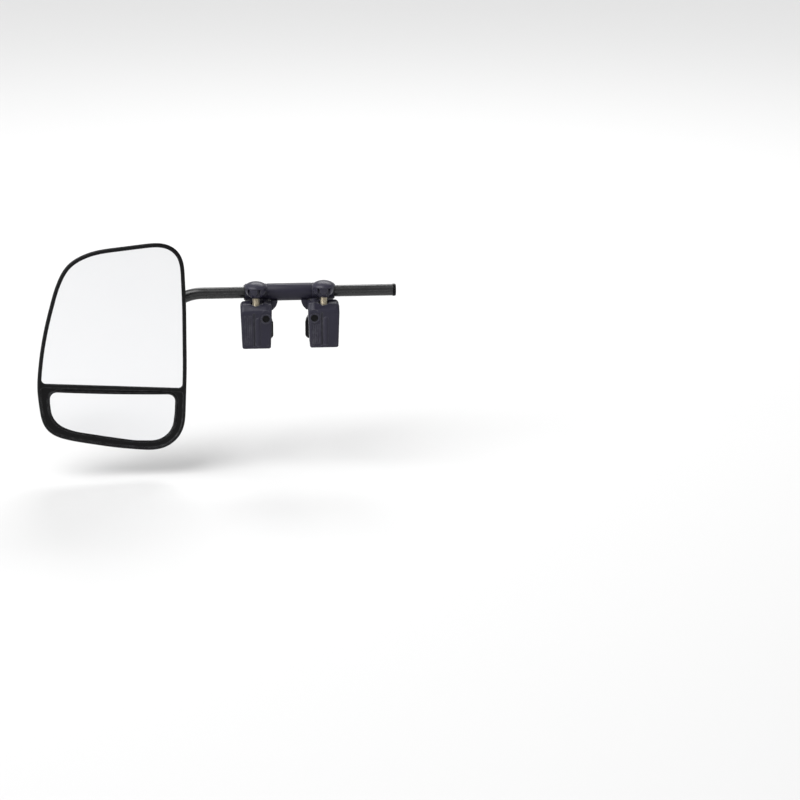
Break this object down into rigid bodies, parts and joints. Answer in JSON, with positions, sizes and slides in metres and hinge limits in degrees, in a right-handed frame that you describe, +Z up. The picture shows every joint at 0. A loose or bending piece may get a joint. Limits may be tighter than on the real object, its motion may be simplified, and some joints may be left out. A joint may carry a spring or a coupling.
{
  "type": "towing mirror",
  "caption": "Clamp-on towing mirror: tall split mirror head on a ball joint, bent sliding arm, and a bracket with screw-operated clamps for a vehicle's door mirror.",
  "frame": {"origin": "middle of the grip: midway between the two clamps, midway across the open gap, at the middle of the rubber pads' height", "axes": "+X along the straight arm towards its free end, -Y the way the glass faces, +Z up"},
  "size_m": [0.4789, 0.0907, 0.2846],
  "materials": {
    "bracket_plastic": "fine-grained glass-filled nylon, slate grey",
    "housing_plastic": "fine-grained moulded plastic, slate grey",
    "knob_plastic": "satin moulded plastic, slate grey with a violet tint",
    "bush_plastic": "smooth dark bearing plastic",
    "trim_plastic": "black moulded plastic, semi-gloss",
    "rubber": "matt black rubber",
    "arm_anodised": "black anodised extrusion, satin",
    "zinc_steel": "zinc-plated turned steel",
    "steel": "bright plated steel",
    "brass": "machined brass",
    "die_cast": "bead-blasted die-cast alloy",
    "die_cast_black": "black powder-coated die casting",
    "liner_nylon": "natural nylon",
    "casing_plastic": "fine-textured black plastic",
    "bezel_gloss": "polished black plastic",
    "mirror_glass": "silvered glass",
    "foam_tape": "closed-cell foam tape"
  },
  "bodies": {
    "bracket": {"clamp_bracket": "bracket_plastic", "left_sleeve_liner": "bush_plastic", "left_rear_pad": "rubber", "left_housing": "housing_plastic", "left_captive_nut": "brass", "left_pivot_pin": "steel", "left_housing_screw": "steel", "left_screw_plug": "trim_plastic", "right_sleeve_liner": "bush_plastic", "right_rear_pad": "rubber", "right_housing": "housing_plastic", "right_captive_nut": "brass", "right_pivot_pin": "steel", "right_housing_screw": "steel", "right_screw_plug": "trim_plastic"},
    "arm": {"arm_tube": "arm_anodised", "arm_end_cap": "trim_plastic", "arm_end_fitting": "die_cast_black", "fitting_grub_screw": "steel"},
    "stud": {"ball_stud": "steel", "stud_washer": "steel", "stud_nut": "steel"},
    "liner": {"ball_liner_front": "liner_nylon", "ball_liner_rear": "liner_nylon"},
    "head": {"rear_shell": "casing_plastic", "front_bezel": "bezel_gloss", "flat_glass": "mirror_glass", "convex_glass": "mirror_glass", "lower_glass_rim": "bezel_gloss", "upper_foam": "foam_tape", "lower_foam": "foam_tape", "socket_cup": "die_cast", "socket_clamp": "die_cast_black", "socket_screws": "steel", "backing_plate": "casing_plastic", "plate_screws": "steel"},
    "left_button": {"left_thrust_button": "zinc_steel"},
    "left_knob_unit": {"left_knob": "knob_plastic", "left_knob_cap": "knob_plastic", "left_clamp_screw": "zinc_steel"},
    "left_lever_unit": {"left_lever": "die_cast", "left_lever_pad": "rubber"},
    "right_button": {"right_thrust_button": "zinc_steel"},
    "right_knob_unit": {"right_knob": "knob_plastic", "right_knob_cap": "knob_plastic", "right_clamp_screw": "zinc_steel"},
    "right_lever_unit": {"right_lever": "die_cast", "right_lever_pad": "rubber"}
  },
  "joints": [
    {"name": "arm_slide", "type": "slide", "parent": "bracket", "child": "arm", "axis": [-1, 0, 0], "range_m": [-0.03, 0.06]},
    {"name": "head_roll", "type": "hinge", "parent": "arm", "child": "stud", "pos_m": [-0.236, -0.042, -0.011], "axis": [0, 1, 0], "range_deg": [-10, 10]},
    {"name": "head_pan", "type": "hinge", "parent": "stud", "child": "liner", "pos_m": [-0.236, -0.042, -0.011], "axis": [0, 0, 1], "range_deg": [-14, 14]},
    {"name": "head_tilt", "type": "hinge", "parent": "liner", "child": "head", "pos_m": [-0.236, -0.042, -0.011], "axis": [1, 0, 0], "range_deg": [-12, 12]},
    {"name": "left_screw_travel", "type": "slide", "parent": "bracket", "child": "left_button", "axis": [0, 0, -1], "range_m": [0, 0.0025]},
    {"name": "left_knob_turn", "type": "hinge", "parent": "left_button", "child": "left_knob_unit", "pos_m": [-0.045, -0.023, 0.042], "axis": [0, 0, -1], "range_deg": [0, 600]},
    {"name": "left_lever_swing", "type": "hinge", "parent": "bracket", "child": "left_lever_unit", "pos_m": [-0.045, -0.0135, 0.0051], "axis": [1, 0, 0], "range_deg": [0, 15.08]},
    {"name": "right_screw_travel", "type": "slide", "parent": "bracket", "child": "right_button", "axis": [0, 0, -1], "range_m": [0, 0.0025]},
    {"name": "right_knob_turn", "type": "hinge", "parent": "right_button", "child": "right_knob_unit", "pos_m": [0.045, -0.023, 0.042], "axis": [0, 0, -1], "range_deg": [0, 600]},
    {"name": "right_lever_swing", "type": "hinge", "parent": "bracket", "child": "right_lever_unit", "pos_m": [0.045, -0.0135, 0.0051], "axis": [1, 0, 0], "range_deg": [0, 15.08]}
  ],
  "couplings": [
    {"joint": "left_knob_turn", "follows": "left_screw_travel", "rad_per_m": 4188.4},
    {"joint": "left_lever_swing", "follows": "left_screw_travel", "rad_per_m": 105.25},
    {"joint": "right_knob_turn", "follows": "right_screw_travel", "rad_per_m": 4188.4},
    {"joint": "right_lever_swing", "follows": "right_screw_travel", "rad_per_m": 105.25}
  ]
}
